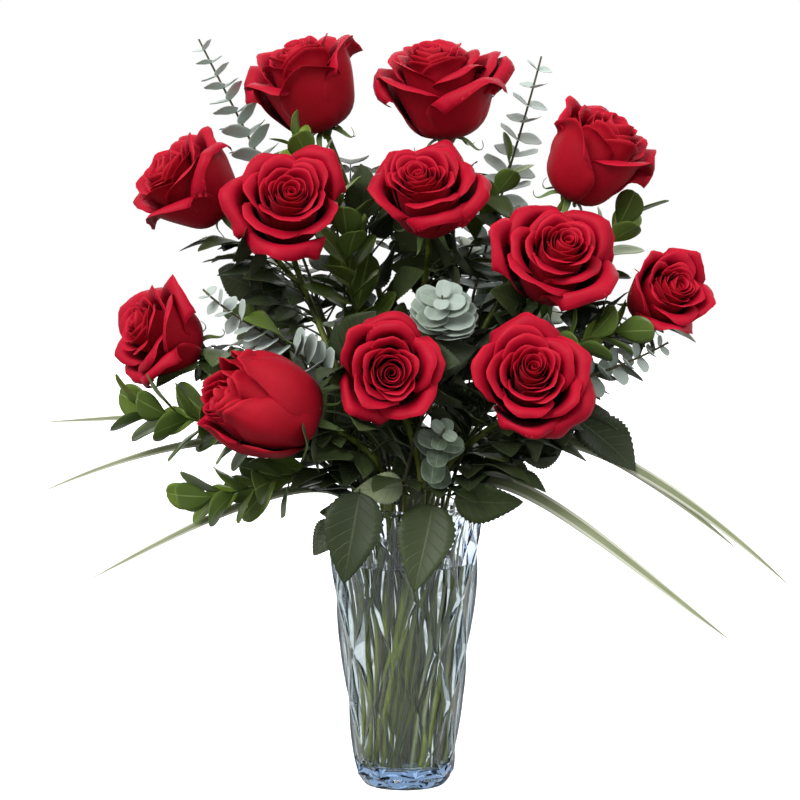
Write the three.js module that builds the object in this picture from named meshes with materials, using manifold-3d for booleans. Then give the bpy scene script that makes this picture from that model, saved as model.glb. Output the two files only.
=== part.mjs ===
// A dozen red roses with eucalyptus, myrtle and lily grass, standing in water in a cut-glass vase.
// Millimetres, +Z up. The origin is the middle of the vase's foot, and the bouquet's front faces -Y.
// Every stem stands on the vase's floor in a hole of its own in the water, leans in the same twist
// as its neighbours so that none cross, and bends from the rim to where its bloom or tip is.
import * as THREE from "three";
import { mergeVertices } from "three/addons/utils/BufferGeometryUtils.js";
import Module from "manifold-3d";

const wasm = await Module();
wasm.setup();

// ---- Driving dimensions ----
const GAP = 0.3; // between pieces that touch
const LEAF_GAP = 0.6; // the least that a leaf keeps from another piece

const VASE_HEIGHT = 240;
const VASE_COLUMNS = 18; // two for each of the nine lozenges round the vase
const FOOT_RADIUS = 35; // the flat that the vase stands on
// Height and outer radius at each row where the cut ridges cross.
const VASE_ROWS = [[10, 42], [32, 45.5], [74, 50.5], [118, 56], [163, 61.5], [204, 65], [234, 66.5]];
const RIM_RADIUS = 66.5;
const FACET_DEPTH = 0.06; // how far a lozenge's middle is sunk, as a share of the radius
const FLOOR_HEIGHT = 17;
const FLOOR_RADIUS = 34;
const INNER_FOOT = [24, 37.5]; // height and inner radius just above the floor's rounded edge
const RIM_INNER_RADIUS = 60;
const WATER_HEIGHT = 190;

const FOOT_REACH = 30; // the furthest stem's distance from the axis on the floor
const RIM_REACH = 53; // and at the rim
const TWIST = THREE.MathUtils.degToRad(70); // how far the bunch turns between floor and rim
const STEM_FOOT = FLOOR_HEIGHT + 1.5;
const ROSE_STEM = 2.6; // stem radii
const SPRAY_STEM = 1.8;
const GRASS_WIDTH = 7;

const HIP_HEIGHT = 9;
const HIP_RADIUS = 6;
const BLOOM_MIDDLE = 36; // from the bottom of a bloom of size 1 to its middle
const PETAL_THICKNESS = 1;
const LEAF_THICKNESS = 0.8;

// The bloom's middle, the way it faces, its diameter, how far it has opened (0 to 1), and the compound
// leaves on its stem: where each leaves the stem (share of the way from rim to bloom) and its tip.
const ROSES = [
  { at: [-84, 30, 600], faces: [-0.36, -0.3, 0.88], width: 101, open: 0.75,
    leaves: [[0.35, [-60, 95, 400]]] },
  { at: [33, 10, 595], faces: [-0.12, -0.36, 0.92], width: 108, open: 1.0,
    leaves: [[0.45, [30, 95, 470]], [0.25, [-15, 108, 330]]] },
  { at: [-181, -10, 512], faces: [-0.72, -0.38, 0.58], width: 96, open: 0.9,
    leaves: [[0.4, [-140, 60, 380]]] },
  { at: [-97, -60, 493], faces: [0.02, -0.86, 0.5], width: 97, open: 0.85,
    leaves: [[0.16, [-48, -92, 264]]] },
  { at: [18, -50, 502], faces: [-0.05, -0.76, 0.65], width: 100, open: 0.9,
    leaves: [[0.75, [46, -75, 458]], [0.5, [58, -60, 405]]] },
  { at: [159, -10, 535], faces: [0.5, -0.38, 0.78], width: 97, open: 0.6,
    leaves: [[0.4, [120, 80, 420]]] },
  { at: [122, -70, 446], faces: [0.1, -0.82, 0.56], width: 98, open: 0.85,
    leaves: [[0.45, [150, 40, 350]]] },
  { at: [213, -50, 420], faces: [0.35, -0.85, 0.4], width: 82, open: 0.7,
    leaves: [[0.4, [194, -50, 275]]] },
  { at: [-203, -40, 384], faces: [-0.8, -0.5, 0.25], width: 93, open: 0.95,
    leaves: [[0.4, [-160, 55, 300]]] },
  { at: [-112, -110, 330], faces: [-0.78, -0.52, 0.3], width: 92, open: 0.25,
    leaves: [[0.5, [-50, -100, 186]]] },
  { at: [-13, -120, 359], faces: [0.04, -0.98, 0.14], width: 94, open: 0.85,
    leaves: [[0.12, [-26, -110, 262]]] },
  { at: [99, -110, 347], faces: [0.0, -0.94, 0.32], width: 100, open: 0.93,
    leaves: [[0.22, [8, -102, 182]], [0.12, [116, -98, 262]], [0.35, [151, -78, 286]]] },
];

// Sprays: where each ends, the way its tip points, the share of its length above the rim that is bare,
// and how many leaves (or pairs of leaves) of what length it has.
const EUCALYPTUS = [
  { tip: [-181, 55, 645], heads: [-0.45, 0, 0.9], bare: 0.66, count: 6, leaf: 22 },
  { tip: [119, 40, 628], heads: [0.25, 0.05, 0.97], bare: 0.45, count: 9, leaf: 21 },
  { tip: [218, -62, 380], heads: [0.85, -0.1, 0.5], bare: 0.5, count: 5, leaf: 18 },
  { tip: [30, -112, 418], heads: [-0.1, -0.85, 0.5], bare: 0.6, count: 4, leaf: 27 },
  { tip: [32, -122, 312], heads: [0.2, -0.85, 0.5], bare: 0.3, count: 4, leaf: 20 },
  { tip: [-167, -62, 424], heads: [-0.7, 0, 0.7], bare: 0.6, count: 5, leaf: 17 },
  { tip: [-60, 130, 470], heads: [-0.2, 0.5, 0.85], bare: 0.35, count: 5, leaf: 21 },
];
const MYRTLE = [
  { tip: [-47, -40, 480], heads: [0.1, -0.1, 1], bare: 0.35, count: 8, leaf: 38 },
  { tip: [-96, -6, 556], heads: [-0.6, -0.2, 0.75], bare: 0.7, count: 5, leaf: 30 },
  { tip: [192, 12, 492], heads: [0.5, 0, 0.85], bare: 0.55, count: 6, leaf: 36 },
  { tip: [-216, -88, 326], heads: [-0.95, -0.1, 0.3], bare: 0.45, count: 8, leaf: 38 },
  { tip: [-168, -84, 252], heads: [-0.95, -0.1, -0.1], bare: 0.35, count: 7, leaf: 34 },
  { tip: [200, -62, 394], heads: [0.9, 0, 0.1], bare: 0.5, count: 6, leaf: 32 },
  { tip: [96, 25, 545], heads: [0.4, 0, 0.9], bare: 0.62, count: 5, leaf: 30 },
  { tip: [95, 125, 430], heads: [0.45, 0.5, 0.75], bare: 0.35, count: 8, leaf: 40 },
  { tip: [-130, 120, 400], heads: [-0.55, 0.45, 0.7], bare: 0.35, count: 8, leaf: 40 },
];
// Clumps of lily grass. Each blade has a tip, the way it points there, and how far the arch rises from
// the rim (a share of the span).
const GRASS = [
  [
    { tip: [-301, -60, 314], heads: [-1, 0, -0.05], rise: 0.42 },
    { tip: [-299, -84, 257], heads: [-0.9, 0, -0.42], rise: 0.36 },
    { tip: [-258, -84, 186], heads: [-0.9, 0, -0.5], rise: 0.26 },
  ],
  [
    { tip: [322, -56, 176], heads: [0.72, 0, -0.69], rise: 0.5 },
    { tip: [281, -30, 205], heads: [0.75, 0.05, -0.66], rise: 0.6 },
    { tip: [267, -84, 136], heads: [0.78, 0, -0.6], rise: 0.35 },
  ],
];

const RED = 0xb00d1e;
const STEM_GREEN = 0x4f6b2a;
const LEAF_GREEN = 0x2f4a22;
const MYRTLE_GREEN = 0x4c7a2c;
const EUCALYPTUS_GREEN = 0x8ba394;
const GRASS_GREEN = 0xa3b07a;
const WATER = 0xb9c9c4;
const GLASS = 0xbcd4e8;

// ---- Helpers ----
const vec = (x, y, z) => new THREE.Vector3(x, y, z);
const smooth = (x) => THREE.MathUtils.smoothstep(x, 0, 1);
const mix = THREE.MathUtils.lerp;
const GOLDEN_ANGLE = Math.PI * (3 - Math.sqrt(5));

// A repeatable random draw from 0 to 1 for each whole number.
function draw(n) {
  const x = Math.sin(n * 12.9898 + 4.1414) * 43758.5453;
  return x - Math.floor(x);
}

// A manifold solid from points and triangles, turned so that its faces point out.
function solidOf(points, triangles) {
  const vertProperties = new Float32Array(points.flatMap((p) => [p.x, p.y, p.z]));
  const build = (faces) => new wasm.Manifold(
    new wasm.Mesh({ numProp: 3, vertProperties, triVerts: new Uint32Array(faces.flat()) }));
  const made = build(triangles);
  return made.volume() > 0 ? made : build(triangles.map(([a, b, c]) => [a, c, b]));
}

// A closed solid through rings of equally many points. turned(row, column) picks a quad's other diagonal.
function loft(rings, turned = () => false) {
  const n = rings[0].length;
  const triangles = [];
  for (let row = 0; row + 1 < rings.length; row++)
    for (let k = 0; k < n; k++) {
      const a = row * n + k;
      const b = row * n + ((k + 1) % n);
      triangles.push(...(turned(row, k)
        ? [[a, b, a + n], [b, b + n, a + n]]
        : [[a, b, b + n], [a, b + n, a + n]]));
    }
  const last = (rings.length - 1) * n;
  for (let k = 1; k + 1 < n; k++) triangles.push([0, k + 1, k], [last, last + k, last + k + 1]);
  return solidOf(rings.flat(), triangles);
}

// A round bar through points, with a radius at each.
function tube(points, radii, sides) {
  let side = vec(0.31, 0.95, 0.05);
  const rings = points.map((p, k) => {
    const along = points[Math.min(k + 1, points.length - 1)].clone()
      .sub(points[Math.max(k - 1, 0)]).normalize();
    side = side.clone().addScaledVector(along, -side.dot(along)).normalize();
    const other = along.clone().cross(side);
    return Array.from({ length: sides }, (_, s) => {
      const a = (2 * Math.PI * s) / sides;
      return p.clone()
        .addScaledVector(side, radii[k] * Math.cos(a))
        .addScaledVector(other, radii[k] * Math.sin(a));
    });
  });
  return loft(rings);
}

// A plate cut to a shape, each of its points then moved to where moved(x, y, z) says.
function plate(shape, thickness, moved) {
  const flat = new THREE.ExtrudeGeometry(shape, { depth: thickness, bevelEnabled: false });
  flat.deleteAttribute("normal");
  flat.deleteAttribute("uv");
  const { index, attributes } = mergeVertices(flat);
  const p = attributes.position;
  const points = Array.from({ length: p.count }, (_, k) => moved(p.getX(k), p.getY(k), p.getZ(k)));
  const corners = [...index.array];
  const faces = Array.from({ length: corners.length / 3 }, (_, k) => corners.slice(3 * k, 3 * k + 3));
  return solidOf(points, faces);
}

const union = (solids) => wasm.Manifold.union(solids);

function meshOf(name, solid, color, extra = {}) {
  const { numProp, vertProperties, triVerts } = solid.getMesh();
  const positions = new Float32Array((vertProperties.length / numProp) * 3);
  for (let k = 0; k < positions.length / 3; k++)
    positions.set(vertProperties.subarray(k * numProp, k * numProp + 3), 3 * k);
  const geometry = new THREE.BufferGeometry();
  geometry.setAttribute("position", new THREE.BufferAttribute(positions, 3));
  geometry.setIndex(new THREE.BufferAttribute(triVerts, 1));
  const material = new THREE.MeshStandardMaterial({ color, roughness: 0.6, metalness: 0, ...extra });
  const mesh = new THREE.Mesh(geometry, material);
  mesh.name = name;
  return mesh;
}

// ---- Vase and water ----
function roundRing(radius, height, shrink = () => 1) {
  return Array.from({ length: VASE_COLUMNS }, (_, k) => {
    const a = (2 * Math.PI * k) / VASE_COLUMNS;
    return vec(radius * shrink(k) * Math.cos(a), radius * shrink(k) * Math.sin(a), height);
  });
}

// Ridges run from crossing to crossing, and each lozenge between them is cut in towards its middle.
function makeVase() {
  const isRidge = (row, column) => (row + column) % 2 === 0;
  const rings = [roundRing(FOOT_RADIUS, 0)];
  VASE_ROWS.forEach(([height, radius], row) =>
    rings.push(roundRing(radius, height, (k) => (isRidge(row, k) ? 1 : 1 - FACET_DEPTH))));
  rings.push(roundRing(RIM_RADIUS, VASE_HEIGHT), roundRing(RIM_INNER_RADIUS, VASE_HEIGHT));
  rings.push(roundRing(INNER_FOOT[1], INNER_FOOT[0]), roundRing(FLOOR_RADIUS, FLOOR_HEIGHT));
  return loft(rings, (row, k) => !isRidge(row - 1, k));
}

function innerRadius(height) {
  const share = (height - INNER_FOOT[0]) / (VASE_HEIGHT - INNER_FOOT[0]);
  return mix(INNER_FOOT[1], RIM_INNER_RADIUS, share);
}

function makeWater(stems) {
  const clear = 1.3 * GAP;
  const body = loft([
    roundRing(FLOOR_RADIUS - clear, FLOOR_HEIGHT + GAP),
    roundRing(INNER_FOOT[1] - clear, INNER_FOOT[0]),
    roundRing(innerRadius(WATER_HEIGHT) - clear, WATER_HEIGHT),
  ]);
  const holes = stems.map(({ foot, rim, radius, sides }) => {
    const lean = rim.clone().sub(foot).normalize();
    const ends = [foot.clone().addScaledVector(lean, -10), rim];
    return tube(ends, ends.map(() => radius + clear), sides);
  });
  return body.subtract(union(holes));
}

// ---- Stems ----
// Slots are spread like a sunflower's seeds over a unit disc. Each stem, from the one that reaches
// furthest, takes the free slot that brings it out of the rim nearest to where it ends in plan.
function giveSlots(ends) {
  const reach = Math.max(...ends.map((p) => Math.hypot(p.x, p.y)));
  const free = ends.map((_, k) => {
    const r = Math.sqrt((k + 0.5) / ends.length);
    return new THREE.Vector2(r * Math.cos(k * GOLDEN_ANGLE), r * Math.sin(k * GOLDEN_ANGLE));
  });
  const slots = new Map();
  [...ends.keys()]
    .sort((a, b) => Math.hypot(ends[b].x, ends[b].y) - Math.hypot(ends[a].x, ends[a].y))
    .forEach((stem) => {
      const plan = new THREE.Vector2(ends[stem].x, ends[stem].y).divideScalar(reach);
      plan.setLength(Math.pow(plan.length(), 0.5)); // stems that end near the axis still spread out
      plan.rotateAround(new THREE.Vector2(), -TWIST / 2);
      const gap = (slot) => slot.distanceTo(plan);
      free.sort((a, b) => gap(a) - gap(b));
      slots.set(stem, free.shift());
    });
  return ends.map((_, k) => slots.get(k));
}

// From the rim a stem goes on the way it leans and bends over to its end; `bow` pushes its middle aside.
class StemCurve extends THREE.CubicBezierCurve3 {
  bow = vec(0, 0, 0);
  getPoint(t) {
    return super.getPoint(t).addScaledVector(this.bow, 16 * t * t * (1 - t) * (1 - t));
  }
}

function stemRoute(slot, end, heads, rise, run) {
  const turned = (angle, reach, height) => {
    const p = slot.clone().rotateAround(new THREE.Vector2(), angle).multiplyScalar(reach);
    return vec(p.x, p.y, height);
  };
  const foot = turned(-TWIST / 2, FOOT_REACH, STEM_FOOT);
  const rim = turned(TWIST / 2, RIM_REACH, VASE_HEIGHT);
  const span = end.distanceTo(rim);
  const lean = rim.clone().sub(foot).normalize();
  const curve = new StemCurve(rim, rim.clone().addScaledVector(lean, rise * span),
    end.clone().addScaledVector(heads, -run * span), end);
  return { foot, rim, curve };
}

function stemTube({ foot, curve, radius, tip, sides, steps }, more = []) {
  const bend = curve.getPoints(steps);
  return tube([foot, ...bend, ...more.map(([point]) => point)],
    [radius, ...bend.map((_, k) => mix(radius, tip, k / steps)), ...more.map(([, r]) => r)], sides);
}

// The point at a share of a broken line's steps, so that what is rooted there is rooted in the tube.
function alongLine(points, t) {
  const step = Math.min(Math.floor(t * (points.length - 1)), points.length - 2);
  return points[step].clone().lerp(points[step + 1], t * (points.length - 1) - step);
}

// ---- Roses ----
const PETAL_STEPS = 12;
const PETAL_SPREAD = THREE.MathUtils.degToRad(33); // half the angle round the axis that a petal takes
const ACROSS = [-1, -0.36, 0.36, 1]; // columns of a petal, from its tucked side to its free side

// A petal's middle line leaves the receptacle outward, stands up into the cup's wall, and turns its lip out.
// Its free side stands out over the tucked side of the next one.
function petalPoint(petal, u, v) {
  const side = Math.abs(u);
  const t = v * (1 - 0.12 * Math.pow(side, 2.5));
  let r = petal.root;
  let z = petal.lift;
  const step = (t * petal.length) / PETAL_STEPS;
  for (let k = 0; k < PETAL_STEPS; k++) {
    const s = ((k + 0.5) / PETAL_STEPS) * t;
    const lipShare = smooth((s - petal.lipStart) / (1 - petal.lipStart));
    const lean = mix(1.4, petal.wall, smooth(s / petal.belly)) + petal.lip * (1 + 0.4 * side) * lipShare;
    r += step * Math.sin(lean);
    z += step * Math.cos(lean);
  }
  const angle = petal.azimuth + u * PETAL_SPREAD;
  const out = r + petal.overlap * u * smooth(v / 0.4);
  return vec(out * Math.cos(angle), out * Math.sin(angle), z);
}

// Two whorls of five petals, the inner ones standing where the outer ones part.
function whorlsOf(rose, index) {
  const turn = 2 * Math.PI * draw(index + 1);
  const whorl = (offset, make) => Array.from({ length: 5 }, (_, k) => ({
    azimuth: turn + ((k + offset) * 2 * Math.PI) / 5,
    ...make(draw(10 * index + k + 100 * offset), draw(10 * index + k + 100 * offset + 50)),
  }));
  return {
    outer: whorl(0, (a, b) => ({
      root: 8, lift: 0.5, length: 82 + 6 * a, belly: 0.34, wall: mix(0.1, 0.3, rose.open),
      lip: mix(0.4, 1.3, rose.open) * (0.75 + 0.5 * b), lipStart: 0.64, overlap: 2.4,
    })),
    inner: whorl(0.5, (a, b) => ({
      root: 6, lift: 3, length: 74 + 5 * a, belly: 0.2, wall: mix(0, 0.12, rose.open),
      lip: mix(0.1, 0.8, rose.open) * (0.7 + 0.6 * b), lipStart: 0.7, overlap: 1.4,
    })),
  };
}

// A ring through a whorl's petals at one share of their length, on their outside (1) or their inside (-1).
function whorlRing(petals, v, face) {
  const e = 0.01;
  return petals.flatMap((petal) => ACROSS.map((u) => {
    const du = petalPoint(petal, u + e, v).sub(petalPoint(petal, u - e, v));
    const dv = petalPoint(petal, u, v).sub(petalPoint(petal, u, v - e));
    return petalPoint(petal, u, v).addScaledVector(du.cross(dv).normalize(), (face * PETAL_THICKNESS) / 2);
  }));
}

// One skin runs up the outside of each whorl and down its inside, and ends on the furled bud.
function makeBloom(rose, index) {
  const { outer, inner } = whorlsOf(rose, index);
  const columns = outer.length * ACROSS.length;
  const aligned = (ring) => ring.map((_, k) => ring[(k + columns - ACROSS.length / 2) % columns]);
  const budRing = (radius, height) => whorlRing(inner, 0.9, 1).map((p, k) => {
    const a = Math.atan2(p.y, p.x);
    const furl = 1 + 0.3 * (k / columns);
    return vec(radius * furl * Math.cos(a), radius * furl * Math.sin(a), height);
  });
  const rings = [
    whorlRing(outer, 0.03, 1).map(({ x, y }) => vec(x, y, 0)),
    ...[0.2, 0.5, 0.8, 1].map((v) => whorlRing(outer, v, 1)),
    ...[1, 0.8, 0.5].map((v) => whorlRing(outer, v, -1)),
    aligned(whorlRing(inner, 1, 1)),
    ...[1, 0.75].map((v) => aligned(whorlRing(inner, v, -1))),
    aligned(budRing(8, 60)),
    aligned(budRing(3.5, 69)),
  ];
  const insides = [5, 6, 9]; // split alike with the outside, so that the thin lips don't cross themselves
  return loft(rings, (row) => insides.includes(row));
}

// Matrix that sets a bloom of size 1, built upwards from the origin, on its receptacle.
function bloomPlace(rose, index) {
  const z = vec(...rose.faces).normalize();
  const x = vec(1, 0, 0).addScaledVector(z, -z.x).normalize();
  const middles = whorlsOf(rose, index).outer.map((petal) => petalPoint(petal, 0, 0.95));
  const size = rose.width / (2 * Math.max(...middles.map((p) => Math.hypot(p.x, p.y))));
  const base = vec(...rose.at).addScaledVector(z, -BLOOM_MIDDLE * size);
  const turn = new THREE.Matrix4().makeBasis(x, z.clone().cross(x), z);
  return {
    base, axis: z, size,
    matrix: new THREE.Matrix4().makeTranslation(base.x, base.y, base.z).multiply(turn),
  };
}

// Five sepals in a star that droops from the top of the hip.
function makeCalyx(size) {
  const star = new THREE.Shape();
  for (let k = 0; k < 10; k++) {
    const r = k % 2 ? 5 : 26 * size;
    const a = (k * Math.PI) / 5;
    star[k ? "lineTo" : "moveTo"](r * Math.cos(a), r * Math.sin(a));
  }
  return plate(star, 1, (x, y, z) => vec(x, y, z - 1 - GAP / 2 - 0.32 * Math.max(Math.hypot(x, y) - 5, 0)));
}

// ---- Leaves ----
// Shares of a leaf's length and of its half width, from root to tip; a pair runs from tip to tip.
const MYRTLE_LEAF = [[0, 0.05], [0.6, 1], [1, 0.3]];
const EUCALYPTUS_PAIR = [[-1, 0.4], [-0.55, 1], [0, 0.06], [0.55, 1], [1, 0.4]];

// A flat strip through sections: each has a middle, and a half width along `wide`.
function leafStrip(sections, wide) {
  const rings = sections.map(({ at, half }, k) => {
    const along = sections[Math.min(k + 1, sections.length - 1)].at.clone()
      .sub(sections[Math.max(k - 1, 0)].at);
    const up = along.cross(wide).setLength(LEAF_THICKNESS / 2);
    const w = wide.clone().setLength(Math.max(half, 0.5));
    return [[1, 1], [-1, 1], [-1, -1], [1, -1]].map(([a, b]) =>
      at.clone().addScaledVector(w, a).addScaledVector(up, b));
  });
  return loft(rings);
}

// Two unit vectors square to a direction.
function squareTo(direction) {
  const side = vec(0.2, -0.9, 0.38);
  side.addScaledVector(direction, -side.dot(direction)).normalize();
  return [side, direction.clone().cross(side).normalize()];
}

// What stands in the way of leaves and stems: solids with their boxes.
const standing = [];
function boxOf(solid) {
  const { min, max } = solid.boundingBox();
  return new THREE.Box3(vec(...min), vec(...max)).expandByScalar(LEAF_GAP);
}
const stand = (owner, solid) => standing.push({ owner, solid, box: boxOf(solid) });
function isClear(owner, solid) {
  const box = boxOf(solid);
  return !standing.some((s) => s.owner !== owner && s.box.intersectsBox(box)
    && s.solid.minGap(solid, 2 * LEAF_GAP) < LEAF_GAP);
}

// A leaf that would cross another piece is bent clear: it takes the first of these turns that is free.
const BENDS = [0, 0.35, -0.35, 0.7, -0.7, 1.1, -1.1, 1.6, -1.6];
function bentClear(owner, leafAt) {
  for (const bend of BENDS) {
    const leaf = leafAt(bend);
    if (isClear(owner, leaf)) return [leaf];
  }
  return [];
}

// Round leaves in opposite pairs, each pair square to the one below it.
function eucalyptusLeaf({ leaf }, root, tangent, share, k) {
  const [side, other] = squareTo(tangent);
  const length = leaf * (1 - 0.6 * Math.pow(share, 3));
  return (bend) => {
    const a = (k * Math.PI) / 2 + 0.5 + bend;
    const along = side.clone().multiplyScalar(Math.cos(a)).addScaledVector(other, Math.sin(a));
    return leafStrip(EUCALYPTUS_PAIR.map(([s, half]) => ({
      at: root.clone()
        .addScaledVector(along, s * length)
        .addScaledVector(tangent, 0.3 * Math.abs(s) * length),
      half: 0.42 * half * length,
    })), tangent.clone().cross(along));
  };
}

// Long oval leaves one by one, in a spiral up the stem.
function myrtleLeaf({ leaf }, root, tangent, share, k) {
  const [side, other] = squareTo(tangent);
  const length = leaf * (1 - 0.25 * share);
  return (bend) => {
    const a = k * GOLDEN_ANGLE + 0.8 + bend;
    const out = side.clone().multiplyScalar(Math.cos(a)).addScaledVector(other, Math.sin(a));
    const along = out.clone()
      .multiplyScalar(mix(0.85, 0.5, share))
      .addScaledVector(tangent, mix(0.5, 0.85, share));
    return leafStrip(MYRTLE_LEAF.map(([s, half]) => ({
      at: root.clone().addScaledVector(along, s * length).add(vec(0, 0, -0.08 * length * s * s)),
      half: 0.29 * half * length,
    })), tangent.clone().cross(out));
  };
}

function sprayLeaves(owner, spray, line, leafAt) {
  const leaves = [];
  for (let k = 0; k < spray.count; k++) {
    const share = (k + 0.5) / spray.count;
    const t = mix(spray.bare, 0.985, share);
    const tangent = alongLine(line, Math.min(t + 0.05, 1)).sub(alongLine(line, t - 0.05)).normalize();
    leaves.push(...bentClear(owner, leafAt(spray, alongLine(line, t), tangent, share, k)));
  }
  return leaves;
}

// A rose's compound leaf is a bent plate: a stalk, two leaflets at its sides and one at its end.
// Its outline's right half, as shares of its length along and across.
const ROSE_LEAF = [[0, 0.018], [0.32, 0.018], [0.44, 0.26], [0.62, 0.31], [0.5, 0.03], [0.68, 0.2],
  [0.86, 0.15], [1, 0.01]];

function roseLeaf(owner, line, [t, tip]) {
  const root = alongLine(line, t);
  const reach = vec(...tip).sub(root);
  const length = reach.length();
  const ahead = reach.clone().normalize();
  const level = vec(0, 0, 1).cross(ahead).normalize();
  const front = vec(0, -1, 0).cross(ahead).normalize();
  const facing = level.lerp(front, Math.abs(ahead.z)).normalize();
  const half = ROSE_LEAF.map(([along, across]) => new THREE.Vector2(along, across));
  const shape = new THREE.Shape([...half, ...half.map((p) => new THREE.Vector2(p.x, -p.y)).reverse()]);
  return bentClear(owner, (bend) => {
    const wide = facing.clone().applyAxisAngle(ahead, bend);
    const up = ahead.clone().cross(wide);
    return plate(shape, LEAF_THICKNESS / length, (x, y, z) => root.clone()
      .addScaledVector(ahead, x * length)
      .addScaledVector(wide, y * length)
      .addScaledVector(up, (z - 0.35 * y * y + 0.45 * x * (1 - x)) * length));
  });
}

// A blade of grass from the clump's stem at the rim, over its arch, to its tip.
function grassBlade(rim, lean, { tip, heads, rise }) {
  const end = vec(...tip);
  const span = end.distanceTo(rim);
  const out = vec(...heads).normalize();
  const start = rim.clone().addScaledVector(lean, -12);
  const curve = new THREE.CubicBezierCurve3(start, start.clone().addScaledVector(lean, rise * span),
    end.clone().addScaledVector(out, -0.5 * span), end);
  const points = curve.getPoints(7);
  const widths = [0.3, 0.7, 1, 1, 0.9, 0.7, 0.45, 0.1];
  return leafStrip(points.map((at, k) => ({ at, half: 0.5 * GRASS_WIDTH * widths[k] })),
    end.clone().sub(start).cross(vec(0, -0.75, 0.66)));
}

// ---- Assembly ----
const bouquet = new THREE.Group();
const two = (k) => String(k + 1).padStart(2, "0");

const vase = makeVase();
stand("vase", vase);

const places = ROSES.map(bloomPlace);
const blooms = ROSES.map((rose, k) => {
  const { matrix, size } = places[k];
  const raised = new THREE.Matrix4().makeTranslation(0, 0, GAP / 2).scale(vec(size, size, size));
  const bloom = makeBloom(rose, k).transform([...raised.premultiply(matrix).elements]);
  stand(`rose_${two(k)}_stem`, bloom);
  return bloom;
});

const sprig = (name, spray, colour, leafAt) => ({
  name, spray, colour, leafAt, radius: SPRAY_STEM, tip: 1.4, sides: 3, steps: 5, rise: 0.4, run: 0.35,
  heads: vec(...spray.heads).normalize(), end: vec(...spray.tip),
});
const growing = [
  ...ROSES.map((rose, k) => ({
    name: `rose_${two(k)}_stem`, rose, radius: ROSE_STEM, tip: ROSE_STEM - 0.3, sides: 5, steps: 4, rise: 0.4,
    run: 0.35, heads: places[k].axis,
    end: places[k].base.clone().addScaledVector(places[k].axis, -HIP_HEIGHT),
  })),
  ...EUCALYPTUS.map((spray, k) => sprig(`eucalyptus_${k + 1}`, spray, EUCALYPTUS_GREEN, eucalyptusLeaf)),
  ...MYRTLE.map((spray, k) => sprig(`myrtle_${k + 1}`, spray, MYRTLE_GREEN, myrtleLeaf)),
  ...GRASS.map((blades, k) => ({
    name: `lily_grass_${k + 1}`, blades, colour: GRASS_GREEN, radius: 2, sides: 4, end: vec(...blades[0].tip),
  })),
];
const slots = giveSlots(growing.map(({ end }) => end));

// A stem that would cross another piece is bowed clear, by the least that is free.
const BOWS = [0, 8, 16, 26, 38].flatMap((reach) =>
  [0, 1, 2, 3, 4, 5].map((turn) => [reach, (turn * Math.PI) / 3]));
growing.forEach((piece, k) => {
  const { end, heads, rise, run } = piece;
  if (piece.blades) {
    const { foot, rim } = stemRoute(slots[k], end, end, 0, 0);
    const lean = rim.clone().sub(foot).normalize();
    piece.foot = foot;
    piece.rim = rim;
    piece.bare = union([
      tube([foot, rim], [piece.radius, piece.radius], piece.sides),
      ...piece.blades.map((blade) => grassBlade(rim, lean, blade)),
    ]);
    stand(piece.name, piece.bare);
    return;
  }
  Object.assign(piece, stemRoute(slots[k], end, heads, rise, run));
  const hip = piece.rose
    ? [[0.45, HIP_RADIUS * 0.95], [1 - GAP / 2 / HIP_HEIGHT, HIP_RADIUS]].map(([share, radius]) =>
      [end.clone().addScaledVector(heads, share * HIP_HEIGHT), radius])
    : [];
  const [side, other] = squareTo(end.clone().sub(piece.rim).normalize());
  for (const [reach, turn] of BOWS) {
    piece.curve.bow = side.clone()
      .multiplyScalar(reach * Math.cos(turn))
      .addScaledVector(other, reach * Math.sin(turn));
    piece.bare = stemTube(piece, hip);
    if (isClear(piece.name, piece.bare)) break;
  }
  piece.line = piece.curve.getPoints(piece.steps);
  stand(piece.name, piece.bare);
});

growing.forEach((piece, k) => {
  const parts = [piece.bare];
  if (piece.rose) {
    parts.push(makeCalyx(places[k].size).transform([...places[k].matrix.elements]));
    piece.rose.leaves.forEach((leaf) => parts.push(...roseLeaf(piece.name, piece.line, leaf)));
  }
  if (piece.spray) parts.push(...sprayLeaves(piece.name, piece.spray, piece.line, piece.leafAt));
  piece.solid = union(parts);
  stand(piece.name, piece.solid);
});

bouquet.add(meshOf("vase", vase, GLASS, { roughness: 0.05, transparent: true, opacity: 0.35 }));
bouquet.add(meshOf("water", makeWater(growing), WATER, { roughness: 0.05, transparent: true, opacity: 0.3 }));
growing.forEach((piece) => bouquet.add(meshOf(piece.name, piece.solid, piece.colour ?? STEM_GREEN)));
blooms.forEach((bloom, k) => bouquet.add(meshOf(`rose_${two(k)}_bloom`, bloom, RED)));

export default bouquet;
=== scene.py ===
"""A dozen red roses with eucalyptus, myrtle and lily grass in a tall cut-glass vase of water."""

import math

import bpy
import numpy as np
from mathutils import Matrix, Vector
from mathutils.bvhtree import BVHTree


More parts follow.
